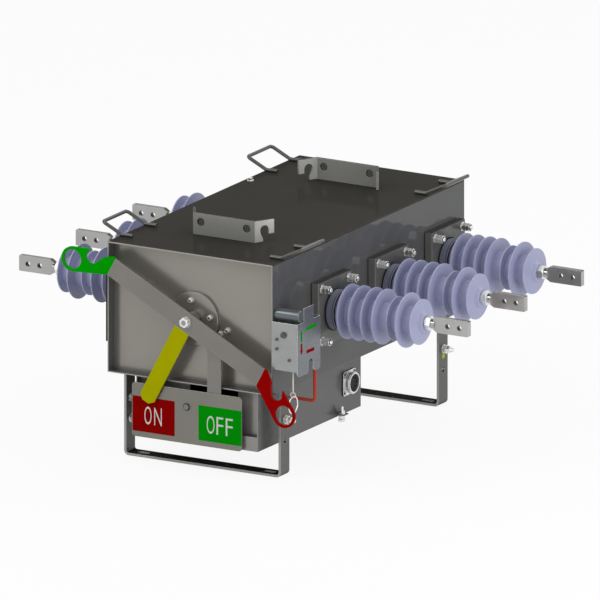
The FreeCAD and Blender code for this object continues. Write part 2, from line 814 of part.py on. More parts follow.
def build():
    nodes = {
        "tank_body": tank_body(),
        "tank_lid": tank_lid(),
        "filler_plug": filler_plug(),
        "front_panel": front_panel(),
        "blank_plate": blank_plate(),
        "bushing_flanges": bushing_flanges(),
        "bushing_gaskets": bushing_gaskets(),
        "flange_studs": flange_studs(),
        "terminal_nuts": terminal_nuts(),
        "contact_jaws": contact_jaws(),
        "main_shaft": main_shaft(),
        "rear_bearing": rear_bearing(),
        "shaft_flange": shaft_flange(),
        "flange_screws": flange_screws(),
        "lever_shaft": lever_shaft(),
        "pivot_bolt": pivot_bolt(),
        "lever_bar": lever_bar(),
        "eye_upper": lever_eye(-1),
        "eye_lower": lever_eye(1),
        "pointer": pointer(),
        "drive_crank": drive_crank(),
        "toggle_spring": toggle_spring(),
        "spring_anchor": spring_anchor(),
        "bracket_front": hook_bracket(1),
        "bracket_rear": hook_bracket(-1),
        "leg_front": leg(-1),
        "leg_rear": leg(1),
        "leg_bolts": leg_bolts(),
        "under_box": under_box(),
        "aux_switch": aux_switch(),
        "indicator_plate": indicator_plate(),
        "plate_bolt": plate_bolt(),
        "indicator_strap": indicator_strap(),
        "connector_shell": connector_shell(),
        "connector_insert": connector_insert(),
        "earth_lug_bolt": earth_lug_bolt(),
        "lock_box": lock_box(),
        "guard_roller": guard_roller(),
        "lock_screws": lock_screws(),
        "lock_slide": lock_slide(),
        "lock_ring": lock_ring(),
    }
    for name, sign in SIDES:
        for k, y in enumerate(phase_y):
            tag = "%s%d" % (name, k + 1)
            nodes["insulator_" + tag] = insulator(sign, y)
            nodes["terminal_" + tag] = terminal(sign, y)
    for k, y in enumerate(phase_y):
        nodes["blade_%d" % (k + 1)] = moving_blade(y)
    for name, sx, sy in (("fr", 1, -1), ("fl", -1, -1), ("br", 1, 1), ("bl", -1, 1)):
        nodes["handle_" + name] = lifting_handle(sx, sy)
    return nodes


os.makedirs("parts", exist_ok=True)
for node, shape in build().items():
    shape.exportStep("parts/%s.step" % node)
    print(node, "valid" if shape.isValid() else "NOT VALID", len(shape.Solids))
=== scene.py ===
import bpy
import bmesh
import json
import math
from mathutils import Matrix, Vector


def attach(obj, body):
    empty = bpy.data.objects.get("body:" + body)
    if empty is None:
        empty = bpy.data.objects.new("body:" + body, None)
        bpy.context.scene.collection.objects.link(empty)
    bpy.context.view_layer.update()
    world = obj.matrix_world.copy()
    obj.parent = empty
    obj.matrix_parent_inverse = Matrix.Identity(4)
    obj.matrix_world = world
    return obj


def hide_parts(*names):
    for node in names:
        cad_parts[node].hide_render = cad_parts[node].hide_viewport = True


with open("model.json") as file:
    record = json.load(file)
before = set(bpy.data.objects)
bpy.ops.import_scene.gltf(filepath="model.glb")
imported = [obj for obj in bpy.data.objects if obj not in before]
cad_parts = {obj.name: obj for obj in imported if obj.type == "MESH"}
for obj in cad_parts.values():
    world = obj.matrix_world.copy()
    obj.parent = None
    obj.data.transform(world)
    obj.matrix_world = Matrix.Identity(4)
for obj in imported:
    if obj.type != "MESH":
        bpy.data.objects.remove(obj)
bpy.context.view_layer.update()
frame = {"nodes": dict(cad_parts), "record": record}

# Pole-mounted load break switch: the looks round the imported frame. Metres, +Z up, lever on -Y.
scene = bpy.context.scene
scene.view_settings.view_transform = "Standard"
slotOf = {row["node"]: row["material_slot"] for row in frame["record"]["subparts"]}
print("frame loaded:", len(frame["nodes"]), "nodes")


# Shader groups: each effect is made once and placed in the materials with its own values.
cloudNoise = dict(detail=5.0, low=0.32, high=0.68)
speckNoise = dict(scale=420.0, detail=2.0, roughness=0.5, low=0.66, high=0.76)
grainNoise = dict(scale=1.0, detail=4.0, roughness=0.7)
bevelSamples = 4


def newGroup(name, inputs, outputs):
    tree = bpy.data.node_groups.new(name, "ShaderNodeTree")
    for label, kind, value in inputs:
        socket = tree.interface.new_socket(label, in_out="INPUT", socket_type=kind)
        socket.default_value = value
    for label, kind in outputs:
        tree.interface.new_socket(label, in_out="OUTPUT", socket_type=kind)
    start = tree.nodes.new("NodeGroupInput")
    end = tree.nodes.new("NodeGroupOutput")
    return tree, start, end


def mathNode(tree, operation, first, second=None, third=None):
    node = tree.nodes.new("ShaderNodeMath")
    node.operation = operation
    for index, value in enumerate((first, second, third)):
        if value is None:
            continue
        if isinstance(value, (int, float)):
            node.inputs[index].default_value = value
        else:
            tree.links.new(value, node.inputs[index])
    return node.outputs[0]


def spread(tree, value, low, high):
    node = tree.nodes.new("ShaderNodeMapRange")     # 0..1 opened out to low..high
    tree.links.new(value, node.inputs["Value"])
    for label, number in (("To Min", low), ("To Max", high)):
        if isinstance(number, (int, float)):
            node.inputs[label].default_value = number
        else:
            tree.links.new(number, node.inputs[label])
    return node.outputs["Result"]


def cutNoise(tree, value, low, high):
    node = tree.nodes.new("ShaderNodeMapRange")     # low..high opened out to 0..1
    node.inputs["From Min"].default_value = low
    node.inputs["From Max"].default_value = high
    tree.links.new(value, node.inputs["Value"])
    return node.outputs["Result"]


def noiseNode(tree, vector, scale, detail, roughness):
    node = tree.nodes.new("ShaderNodeTexNoise")
    tree.links.new(vector, node.inputs["Vector"])
    node.inputs["Scale"].default_value = scale
    node.inputs["Detail"].default_value = detail
    node.inputs["Roughness"].default_value = roughness
    return node.outputs["Fac"]


def makeGrainGroup():
    tree, start, end = newGroup(
        "BrushedGrain",
        [("Position", "NodeSocketVector", (0, 0, 0)), ("Stretch", "NodeSocketVector", (900, 900, 14)),
         ("Contrast", "NodeSocketFloat", 0.2)],
        [("Shade", "NodeSocketFloat"), ("Height", "NodeSocketFloat")])
    scaled = tree.nodes.new("ShaderNodeVectorMath")
    scaled.operation = "MULTIPLY"
    tree.links.new(start.outputs["Position"], scaled.inputs[0])
    tree.links.new(start.outputs["Stretch"], scaled.inputs[1])
    fine = noiseNode(tree, scaled.outputs[0], **grainNoise)
    centred = mathNode(tree, "SUBTRACT", fine, 0.5)
    shade = mathNode(tree, "MULTIPLY_ADD", centred, start.outputs["Contrast"], 1.0)
    tree.links.new(shade, end.inputs["Shade"])
    tree.links.new(fine, end.inputs["Height"])
    return tree


def makeCloudGroup():
    tree, start, end = newGroup(
        "HandlingClouds",
        [("Position", "NodeSocketVector", (0, 0, 0)), ("Scale", "NodeSocketFloat", 6.0)],
        [("Mask", "NodeSocketFloat"), ("Specks", "NodeSocketFloat")])
    node = tree.nodes.new("ShaderNodeTexNoise")
    node.inputs["Detail"].default_value = cloudNoise["detail"]
    tree.links.new(start.outputs["Position"], node.inputs["Vector"])
    tree.links.new(start.outputs["Scale"], node.inputs["Scale"])
    clouds = cutNoise(tree, node.outputs["Fac"], cloudNoise["low"], cloudNoise["high"])
    tree.links.new(clouds, end.inputs["Mask"])
    dots = noiseNode(tree, start.outputs["Position"], speckNoise["scale"], speckNoise["detail"],
                     speckNoise["roughness"])
    tree.links.new(cutNoise(tree, dots, speckNoise["low"], speckNoise["high"]), end.inputs["Specks"])
    return tree


# edge mask: used for rubbed and chipped edges, and for painted edge highlights
def makeEdgeGroup():
    tree, start, end = newGroup(
        "EdgeRubAndHighlight", [("Radius", "NodeSocketFloat", 0.0012), ("Strength", "NodeSocketFloat", 4.0)],
        [("Mask", "NodeSocketFloat"), ("Rounded", "NodeSocketVector")])
    bevel = tree.nodes.new("ShaderNodeBevel")
    bevel.samples = bevelSamples
    tree.links.new(start.outputs["Radius"], bevel.inputs["Radius"])
    shape = tree.nodes.new("ShaderNodeNewGeometry")
    dot = tree.nodes.new("ShaderNodeVectorMath")
    dot.operation = "DOT_PRODUCT"
    tree.links.new(bevel.outputs["Normal"], dot.inputs[0])
    tree.links.new(shape.outputs["Normal"], dot.inputs[1])
    gap = mathNode(tree, "SUBTRACT", 1.0, dot.outputs["Value"])
    strong = mathNode(tree, "MULTIPLY", gap, start.outputs["Strength"])
    capped = mathNode(tree, "MINIMUM", strong, 1.0)
    tree.links.new(capped, end.inputs["Mask"])
    tree.links.new(bevel.outputs["Normal"], end.inputs["Rounded"])
    return tree


grainGroup = makeGrainGroup()
cloudGroup = makeCloudGroup()
edgeGroup = makeEdgeGroup()
print("shader groups made")


def startMaterial(name, slotName):
    material = bpy.data.materials.new(name)
    material.use_nodes = True
    tree = material.node_tree
    shader = tree.nodes["Principled BSDF"]
    place = tree.nodes.new("ShaderNodeTexCoord").outputs["Object"]
    material["finishSlot"] = slotName
    return material, tree, shader, place


def placeGroup(tree, group, **values):
    node = tree.nodes.new("ShaderNodeGroup")
    node.node_tree = group
    for label, value in values.items():
        if isinstance(value, bpy.types.NodeSocket):
            tree.links.new(value, node.inputs[label])
        else:
            node.inputs[label].default_value = value
    return node


def mixColour(tree, factor, first, second):
    node = tree.nodes.new("ShaderNodeMix")
    node.data_type = "RGBA"
    for socket, value in ((node.inputs[0], factor), (node.inputs[6], first), (node.inputs[7], second)):
        if isinstance(value, bpy.types.NodeSocket):
            tree.links.new(value, socket)
        else:
            socket.default_value = (*value, 1.0)
    return node.outputs[2]


def scaledColour(tree, colour, factor):
    node = tree.nodes.new("ShaderNodeVectorMath")
    node.operation = "SCALE"
    if isinstance(colour, bpy.types.NodeSocket):
        tree.links.new(colour, node.inputs[0])
    else:
        node.inputs[0].default_value = colour
    tree.links.new(factor, node.inputs["Scale"])
    return node.outputs[0]


def splitAxes(tree, vector):
    node = tree.nodes.new("ShaderNodeSeparateXYZ")
    tree.links.new(vector, node.inputs[0])
    return node.outputs


def finderOf(tree):
    return [node for node in tree.nodes if node.bl_idname == "ShaderNodeTexCoord"][0]


def bumpNode(tree, height, distance, strength, normal=None):
    node = tree.nodes.new("ShaderNodeBump")
    node.inputs["Distance"].default_value = distance
    node.inputs["Strength"].default_value = strength
    tree.links.new(height, node.inputs["Height"])
    if normal is not None:
        tree.links.new(normal, node.inputs["Normal"])
    return node.outputs["Normal"]


# Ways that a face can point: a direction, and the least cosine to it. They pick the faces that get painted
# light or painted shade.
upward = ((0.0, 0.0, 1.0), 0.6)
toFront = ((0.0, -1.0, 0.0), 0.9)
sideways = ((1.0, 0.0, 0.0), 0.9)
bentEnds = ((0.866, -0.5, 0.0), 0.95)
headOn = ((0.0, -1.0, 0.0), 0.985)

# Bare metals: brushed, rolled, plated or polished, all by one recipe, with painted light and shade on faces
# turned each way and painted highlights on the edges.
metalLooks = {
    # tank: front faces of the rims painted lighter, painted light
    "tankWall": dict(
        slot="tank_steel", colour=(0.130, 0.131, 0.133), edgeRubAndGlint=(0.26, 0.26, 0.25), metallic=0.3, tint=0.6,
        specular=0.12, rough=(0.03, 0.06), stretch=(26, 26, 700), contrast=0.16, grain=0.000002,
        edge=0.0014, cloud=3.0, turned=((toFront, (0.380, 0.362, 0.330)),)),
    "frontPanel": dict(
        slot="tank_steel", colour=(0.285, 0.268, 0.240), edgeRubAndGlint=(0.45, 0.43, 0.39), metallic=0.55, tint=1.0,
        rough=(0.20, 0.30), stretch=(20, 500, 620), contrast=0.16, grain=0.00001, edge=0.0010, cloud=2.5),
    # lid: front faces painted lighter, painted light
    "lidSheet": dict(
        slot="lid_steel", colour=(0.073, 0.070, 0.062), edgeRubAndGlint=(0.16, 0.16, 0.15), metallic=0.4, tint=0.35,
        specular=0.0, rough=(0.08, 0.13), stretch=(600, 14, 400), contrast=0.10, grain=0.000003,
        edge=0.0012, cloud=2.0, turned=((toFront, (0.380, 0.362, 0.330)),)),
    # brackets: bent ends painted lighter as a painted highlight, top faces painted dark as painted shade
    "bracketSheet": dict(
        slot="bracket_steel", colour=(0.310, 0.310, 0.294), edgeRubAndGlint=(0.52, 0.52, 0.50), metallic=0.25, tint=0.3,
        specular=0.05, rough=(0.24, 0.34), stretch=(18, 420, 520), contrast=0.16, grain=0.00001,
        edge=0.0011, cloud=5.0, bores=((0.070, 0.6345),), boreRadius=0.0114,
        turned=((bentEnds, (0.560, 0.560, 0.540)), (upward, (0.060, 0.057, 0.050)))),
    # leg straps: front faces painted lighter as painted light, top faces painted near black as painted shade
    "legStrap": dict(
        slot="bracket_steel", colour=(0.185, 0.183, 0.176), edgeRubAndGlint=(0.36, 0.36, 0.35), metallic=0.4, tint=0.3,
        specular=0.0, rough=(0.22, 0.32), stretch=(40, 620, 40), contrast=0.22, grain=0.00001, edge=0.0012,
        cloud=5.0, turned=((toFront, (0.390, 0.386, 0.368)), (upward, (0.046, 0.045, 0.041)))),
    # under box: front faces painted lighter, painted light in its recess
    "underBoxSheet": dict(
        slot="bracket_steel", colour=(0.128, 0.130, 0.127), edgeRubAndGlint=(0.42, 0.42, 0.40), metallic=0.4, tint=0.6,
        rough=(0.22, 0.32), stretch=(24, 24, 560), contrast=0.18, grain=0.00001, edge=0.0010, cloud=4.0,
        turned=((toFront, (0.270, 0.264, 0.250)),)),
    "leverSheet": dict(
        slot="plate_steel", colour=(0.206, 0.196, 0.180), edgeRubAndGlint=(0.52, 0.50, 0.46), metallic=0.5, tint=1.0,
        rough=(0.24, 0.36), stretch=(16, 300, 520), contrast=0.18, grain=0.00001, edge=0.0010, cloud=6.0),
    "signSheet": dict(
        slot="plate_steel", colour=(0.205, 0.198, 0.172), edgeRubAndGlint=(0.48, 0.46, 0.42), metallic=0.5, tint=1.0,
        rough=(0.24, 0.36), stretch=(16, 300, 420), contrast=0.12, grain=0.00001, edge=0.0010, cloud=4.0),
    # flanges: front faces painted lighter as painted light, top faces painted dark as painted shade
    "flangeSteel": dict(
        slot="flange_steel", colour=(0.140, 0.141, 0.135), edgeRubAndGlint=(0.34, 0.34, 0.33), metallic=0.25, tint=0.6,
        specular=0.3, rough=(0.16, 0.26), stretch=(60, 520, 520), contrast=0.20, grain=0.00001, edge=0.0010,
        cloud=9.0, turned=((toFront, (0.200, 0.198, 0.188)), (upward, (0.045, 0.045, 0.042)))),
    # fasteners: faces turned straight to the front painted mid grey, a painted shade on the bright metal
    "brightFastener": dict(
        slot="fasteners", colour=(0.86, 0.86, 0.84), edgeRubAndGlint=(0.95, 0.95, 0.93), metallic=0.6, tint=1.0,
        rough=(0.12, 0.22), stretch=(260, 260, 260), contrast=0.22, grain=0.00002, edge=0.0005, cloud=60.0,
        turned=((headOn, (0.330, 0.322, 0.305)),)),
    # zinc sheet: faces turned to +X painted darker, painted shade
    "zincSheet": dict(
        slot="zinc_sheet", colour=(0.345, 0.355, 0.350), edgeRubAndGlint=(0.86, 0.87, 0.86), metallic=0.5, tint=1.0,
        rough=(0.18, 0.32), stretch=(46, 46, 420), contrast=0.14, grain=0.00001, edge=0.0014, cloud=16.0,
        turned=((sideways, (0.165, 0.176, 0.192)),)),
    "socketZinc": dict(
        slot="zinc_sheet", colour=(0.760, 0.760, 0.770), edgeRubAndGlint=(0.88, 0.88, 0.88), metallic=0.7, tint=1.0,
        rough=(0.14, 0.24), stretch=(90, 90, 90), contrast=0.20, grain=0.00001, edge=0.0010, cloud=40.0,
        seat=0.2106),
    "polishedRod": dict(
        slot="polished_rod", colour=(0.052, 0.051, 0.047), edgeRubAndGlint=(0.50, 0.49, 0.47), metallic=0.0, tint=1.0,
        specular=0.7, rough=(0.06, 0.12), stretch=(220, 220, 220), contrast=0.14, grain=0.00001,
        edge=0.0006, cloud=20.0),
    "guardTube": dict(
        slot="zinc_sheet", colour=(0.125, 0.142, 0.150), edgeRubAndGlint=(0.86, 0.87, 0.86), metallic=0.3, tint=1.0,
        rough=(0.06, 0.12), stretch=(46, 46, 420), contrast=0.14, grain=0.00001, edge=0.0012, cloud=16.0),
    "shaftSteel": dict(
        slot="shaft_steel", colour=(0.400, 0.400, 0.390), edgeRubAndGlint=(0.62, 0.62, 0.60), metallic=1.0, tint=1.0,
        rough=(0.18, 0.30), stretch=(40, 700, 40), contrast=0.24, grain=0.00002, edge=0.0006, cloud=25.0),
    # terminal palms: top faces painted dark, painted shade
    "tinnedCopper": dict(
        slot="tinned_copper", colour=(0.430, 0.434, 0.422), edgeRubAndGlint=(0.70, 0.68, 0.62), metallic=0.7, tint=1.0,
        rough=(0.08, 0.15), stretch=(30, 480, 480), contrast=0.14, grain=0.000005, edge=0.0007, cloud=18.0,
        bores=((0.6235, 0.416), (0.6595, 0.416)), boreRadius=0.0074,
        turned=((upward, (0.060, 0.062, 0.060)),)),
}
metalCommon = dict(cloudShade=0.88, edgeStrength=5.0, bumpStrength=1.0, specular=0.5,
                   boreShadow=(0.010, 0.010, 0.010), seal=(0.008, 0.008, 0.009))


def boreMask(tree, place, spot, radius):
    axes = splitAxes(tree, place)
    across = mathNode(tree, "SUBTRACT", mathNode(tree, "ABSOLUTE", axes["X"]), spot[0])
    along = mathNode(tree, "SUBTRACT", axes["Z"], spot[1])
    reach = mathNode(tree, "ADD", mathNode(tree, "MULTIPLY", across, across),
                     mathNode(tree, "MULTIPLY", along, along))
    return mathNode(tree, "LESS_THAN", reach, radius * radius)


# mask of the faces turned one way, which get painted light or painted shade
def turnedMask(tree, direction, limit):
    dot = tree.nodes.new("ShaderNodeVectorMath")
    dot.operation = "DOT_PRODUCT"
    tree.links.new(finderOf(tree).outputs["Normal"], dot.inputs[0])
    dot.inputs[1].default_value = direction
    return mathNode(tree, "GREATER_THAN", dot.outputs["Value"], limit)


def metalFinish(name, look, common):
    material, tree, shader, place = startMaterial(name, look["slot"])
    grain = placeGroup(tree, grainGroup, Position=place, Stretch=look["stretch"], Contrast=look["contrast"])
    clouds = placeGroup(tree, cloudGroup, Position=place, Scale=look["cloud"])
    edges = placeGroup(tree, edgeGroup, Radius=look["edge"], Strength=common["edgeStrength"])
    toned = look["colour"]
    # painted light and shade: faces turned one way get a lighter or darker copy of the colour
    for way, colour in look.get("turned", ()):
        toned = mixColour(tree, turnedMask(tree, *way), toned, colour)
    clouded = spread(tree, clouds.outputs["Mask"], common["cloudShade"], 1.0)
    finish = scaledColour(tree, toned, mathNode(tree, "MULTIPLY", clouded, grain.outputs["Shade"]))
    for spot in look.get("bores", ()):      # the holes' walls lie in shadow
        bore = boreMask(tree, place, spot, look["boreRadius"])
        finish = mixColour(tree, bore, finish, common["boreShadow"])
    # edges lighter: rubbed metal and a painted edge highlight
    finish = mixColour(tree, edges.outputs["Mask"], finish, look["edgeRubAndGlint"])
    if "seat" in look:      # the seal under the plate is black
        under = mathNode(tree, "LESS_THAN", splitAxes(tree, place)["X"], look["seat"])
        finish = mixColour(tree, under, finish, common["seal"])
    tree.links.new(finish, shader.inputs["Base Color"])
    tree.links.new(spread(tree, clouds.outputs["Mask"], look["rough"][1], look["rough"][0]),
                   shader.inputs["Roughness"])
    shader.inputs["Metallic"].default_value = look["metallic"]
    shader.inputs["Specular IOR Level"].default_value = look.get("specular", common["specular"])
    shader.inputs["Specular Tint"].default_value = (look["tint"], look["tint"], look["tint"], 1.0)
    bump = bumpNode(tree, grain.outputs["Height"], look["grain"], common["bumpStrength"],
                    edges.outputs["Rounded"])
    tree.links.new(bump, shader.inputs["Normal"])
    return material


# Paint: a soft orange peel, a little fading and bare metal on rubbed edges.
paintLooks = {
    "greenPaint": dict(
        slot="green_paint", colour=(0.0005, 0.320, 0.0005), bare=(0.40, 0.42, 0.38), rough=0.6),
    "redPaint": dict(
        slot="red_paint", colour=(0.280, 0.0005, 0.0005), bare=(0.45, 0.38, 0.36), rough=0.6),
    "yellowPaint": dict(
        slot="yellow_paint", colour=(0.390, 0.390, 0.0005), bare=(0.42, 0.42, 0.34), rough=0.6),
    "redRodPaint": dict(
        slot="red_paint", colour=(0.470, 0.060, 0.036), bare=(0.50, 0.36, 0.32), rough=0.4),
    "signRed": dict(
        slot="red_paint", colour=(0.235, 0.0008, 0.0006), bare=(0.30, 0.02, 0.02), rough=0.6),
    "signGreen": dict(
        slot="green_paint", colour=(0.0006, 0.260, 0.002), bare=(0.02, 0.36, 0.03), rough=0.6),
    "signLetter": dict(
        slot="plate_steel", colour=(0.640, 0.640, 0.600), bare=(0.80, 0.80, 0.76), rough=0.6),
    "earthMark": dict(
        slot="yellow_paint", colour=(0.420, 0.460, 0.060), bare=(0.50, 0.52, 0.20), rough=0.6),
}
paintCommon = dict(cloud=14.0, edge=0.0007, edgeStrength=2.0, fade=0.90, roughSpread=0.08, specular=0.01,
                   peelScale=900.0, peelDetail=2.0, peelRoughness=0.5, peelHeight=0.00004, peelStrength=0.5)


def paintFinish(name, look, common, bareWhere):
    material, tree, shader, place = startMaterial(name, look["slot"])
    clouds = placeGroup(tree, cloudGroup, Position=place, Scale=common["cloud"])
    edges = placeGroup(tree, edgeGroup, Radius=common["edge"], Strength=common["edgeStrength"])
    faded = tuple(part * common["fade"] for part in look["colour"])
    toned = mixColour(tree, clouds.outputs["Mask"], faded, look["colour"])
    chipped = mathNode(tree, "MULTIPLY", edges.outputs["Mask"], clouds.outputs["Mask"])
    colour = mixColour(tree, chipped, toned, look["bare"])
    if bareWhere:       # the side given by an axis and a limit is left unpainted
        source, axis, limit, sense, metal = bareWhere
        axes = splitAxes(tree, finderOf(tree).outputs[source])
        colour = mixColour(tree, mathNode(tree, sense, axes[axis], limit), colour, metal)
    tree.links.new(colour, shader.inputs["Base Color"])
    tree.links.new(spread(tree, clouds.outputs["Mask"], look["rough"] + common["roughSpread"], look["rough"]),
                   shader.inputs["Roughness"])
    shader.inputs["Specular IOR Level"].default_value = common["specular"]
    peel = noiseNode(tree, place, common["peelScale"], common["peelDetail"], common["peelRoughness"])
    bump = bumpNode(tree, peel, common["peelHeight"], common["peelStrength"], edges.outputs["Rounded"])
    tree.links.new(bump, shader.inputs["Normal"])
    return material


# Silicone rubber of the bushing housings: smooth, a little waxy, lighter on upward faces from dust and
# painted top light, with painted shade at the collar and painted highlights on the rims.
siliconeLook = dict(colour=(0.322, 0.338, 0.508), shade=(0.340, 0.354, 0.520), cloud=9.0,
                    dustAndTopLight=(0.36, 0.37, 0.52), dustAndTopLightShare=0.30, rim=(0.86, 0.88, 1.00), edge=0.0011,
                    edgeStrength=3.0, collar=(0.190, 0.202, 0.275), collarShadeEnd=0.309, rough=(0.34, 0.46),
                    skinScale=700.0, skinDetail=3.0, skinRoughness=0.5, skinHeight=0.00003, skinStrength=0.6)


def siliconeFinish(look):
    material, tree, shader, place = startMaterial("lavenderSilicone", "silicone")
    clouds = placeGroup(tree, cloudGroup, Position=place, Scale=look["cloud"])
    finish = mixColour(tree, clouds.outputs["Mask"], look["shade"], look["colour"])
    # upward faces lighter: dust and painted top light
    up = mathNode(tree, "MAXIMUM", splitAxes(tree, finderOf(tree).outputs["Normal"])["Z"], 0.0)
    finish = mixColour(tree, mathNode(tree, "MULTIPLY", up, look["dustAndTopLightShare"]), finish, look["dustAndTopLight"])
    # painted shade: the collar next to the flange is darker
    across = mathNode(tree, "ABSOLUTE", splitAxes(tree, place)["X"])
    finish = mixColour(tree, mathNode(tree, "LESS_THAN", across, look["collarShadeEnd"]), finish, look["collar"])
    edges = placeGroup(tree, edgeGroup, Radius=look["edge"], Strength=look["edgeStrength"])
    # rims near white: painted highlight on the shed edges
    finish = mixColour(tree, edges.outputs["Mask"], finish, look["rim"])
    tree.links.new(finish, shader.inputs["Base Color"])
    tree.links.new(spread(tree, clouds.outputs["Mask"], look["rough"][1], look["rough"][0]),
                   shader.inputs["Roughness"])
    skin = noiseNode(tree, place, look["skinScale"], look["skinDetail"], look["skinRoughness"])
    bump = bumpNode(tree, skin, look["skinHeight"], look["skinStrength"], edges.outputs["Rounded"])
    tree.links.new(bump, shader.inputs["Normal"])
    return material


# Dark mouldings and the cast resin shaft.
mouldLooks = {
    "blackRubber": dict(
        slot="black_seal", colour=(0.012, 0.012, 0.013), pale=(0.03, 0.03, 0.032), rough=(0.45, 0.60),
        specular=0.2),
    "blackPlastic": dict(
        slot="black_plate", colour=(0.010, 0.010, 0.011), pale=(0.028, 0.028, 0.030), rough=(0.35, 0.50),
        specular=0.2),
    "shaftResin": dict(
        slot="shaft_resin", colour=(0.340, 0.190, 0.080), pale=(0.420, 0.260, 0.120), rough=(0.38, 0.50),
        specular=0.5),
}
mouldCommon = dict(cloud=30.0, edge=0.0006, edgeStrength=3.0, gritScale=1600.0, gritDetail=2.0,
                   gritRoughness=0.6, gritHeight=0.00005, gritStrength=0.6)


def mouldedFinish(name, look, common):
    material, tree, shader, place = startMaterial(name, look["slot"])
    clouds = placeGroup(tree, cloudGroup, Position=place, Scale=common["cloud"])
    edges = placeGroup(tree, edgeGroup, Radius=common["edge"], Strength=common["edgeStrength"])
    # edges paler: rubbed edges and a painted edge highlight
    toned = mixColour(tree, edges.outputs["Mask"], look["colour"], look["pale"])
    flecked = mixColour(tree, clouds.outputs["Specks"], toned, look["pale"])
    tree.links.new(flecked, shader.inputs["Base Color"])
    tree.links.new(spread(tree, clouds.outputs["Mask"], look["rough"][0], look["rough"][1]),
                   shader.inputs["Roughness"])
    shader.inputs["Specular IOR Level"].default_value = look["specular"]
    grit = noiseNode(tree, place, common["gritScale"], common["gritDetail"], common["gritRoughness"])
    bump = bumpNode(tree, grit, common["gritHeight"], common["gritStrength"], edges.outputs["Rounded"])
    tree.links.new(bump, shader.inputs["Normal"])
    return material


# The pointer's back and the pull rod in front of the red rod carry no paint.
bareSides = {
    "yellowPaint": ("Normal", "Y", 0.7, "GREATER_THAN", (0.260, 0.246, 0.222)),
    "redRodPaint": ("Object", "Y", -0.462, "LESS_THAN", (0.620, 0.610, 0.580)),
}
finishes = {name: metalFinish(name, look, metalCommon) for name, look in metalLooks.items()}
for name, look in paintLooks.items():
    finishes[name] = paintFinish(name, look, paintCommon, bareSides.get(name))
finishes["silicone"] = siliconeFinish(siliconeLook)
for name, look in mouldLooks.items():
    finishes[name] = mouldedFinish(name, look, mouldCommon)

slotFinish = {
    "tank_steel": "tankWall", "lid_steel": "lidSheet", "bracket_steel": "bracketSheet",
    "plate_steel": "leverSheet", "flange_steel": "flangeSteel", "fasteners": "brightFastener",
    "zinc_sheet": "zincSheet", "polished_rod": "polishedRod", "shaft_steel": "shaftSteel",
    "black_seal": "blackRubber", "black_plate": "blackPlastic", "tinned_copper": "tinnedCopper",
    "silicone": "silicone", "shaft_resin": "shaftResin", "green_paint": "greenPaint", "red_paint": "redPaint",
    "yellow_paint": "yellowPaint",
}
nodeFinish = {"front_panel": "frontPanel", "leg_front": "legStrap", "leg_rear": "legStrap",
              "under_box": "underBoxSheet", "lock_slide": "redRodPaint", "shaft_flange": "frontPanel",
              "indicator_plate": "signSheet", "guard_roller": "guardTube", "lock_screws": "polishedRod",
              "plate_bolt": "signSheet", "connector_shell": "socketZinc", "lock_ring": "brightFastener"}


def dressNodes():
    for node, part in frame["nodes"].items():
        finish = finishes[nodeFinish.get(node, slotFinish[slotOf[node]])]
        part.data.materials.clear()
        part.data.materials.append(finish)
        for place in part.material_slots:
            place.material = finish


dressNodes()
print("materials on every node:", len(finishes), "finishes")


# Mesh helpers for the hardware: everything is drawn along +Z and then turned to its axis.
def turnTo(origin, axis, roll=0.0):
    turn = Vector((0, 0, 1)).rotation_difference(Vector(axis)).to_matrix().to_4x4()
    return Matrix.Translation(Vector(origin)) @ turn @ Matrix.Rotation(roll, 4, "Z")


def addRings(bm, rings, matrix):
    rows = [[bm.verts.new(matrix @ Vector(point)) for point in ring] for ring in rings]
    count = len(rows[0])
    for near, far in zip(rows, rows[1:]):
        for index in range(count):
            after = (index + 1) % count
            bm.faces.new((near[index], near[after], far[after], far[index]))
    bm.faces.new(rows[0][::-1])
    bm.faces.new(rows[-1])


def addTurned(bm, profile, matrix, segments=28):
    rings = []
    for along, radius in profile:
        rings.append([(radius * math.cos(2 * math.pi * k / segments),
                       radius * math.sin(2 * math.pi * k / segments), along) for k in range(segments)])
    addRings(bm, rings, matrix)


hexHead = dict(segments=36, rim=0.985, slope=0.577)


def addHexHead(bm, across, low, high, matrix, chamferLow=True, chamferHigh=True):
    flat = across / 2
    rim = flat * hexHead["rim"]
    rings = [[], [], [], []]
    for k in range(hexHead["segments"]):
        angle = 2 * math.pi * k / hexHead["segments"]
        corner = (angle + math.pi / 6) % (math.pi / 3) - math.pi / 6
        radius = flat / math.cos(corner)
        drop = (radius - rim) * hexHead["slope"]
        unit = (math.cos(angle), math.sin(angle))
        ends = ((rim if chamferLow else radius, low), (radius, low + (drop if chamferLow else 0.0)),
                (radius, high - (drop if chamferHigh else 0.0)), (rim if chamferHigh else radius, high))
        for ring, (r, z) in zip(rings, ends):
            ring.append((unit[0] * r, unit[1] * r, z))
    if not chamferLow:
        rings = rings[1:]
    if not chamferHigh:
        rings = rings[:-1]
    addRings(bm, rings, matrix)


threadForm = dict(segments=20, depth=0.549, core=0.99, tip=0.8, tipLength=0.0012)


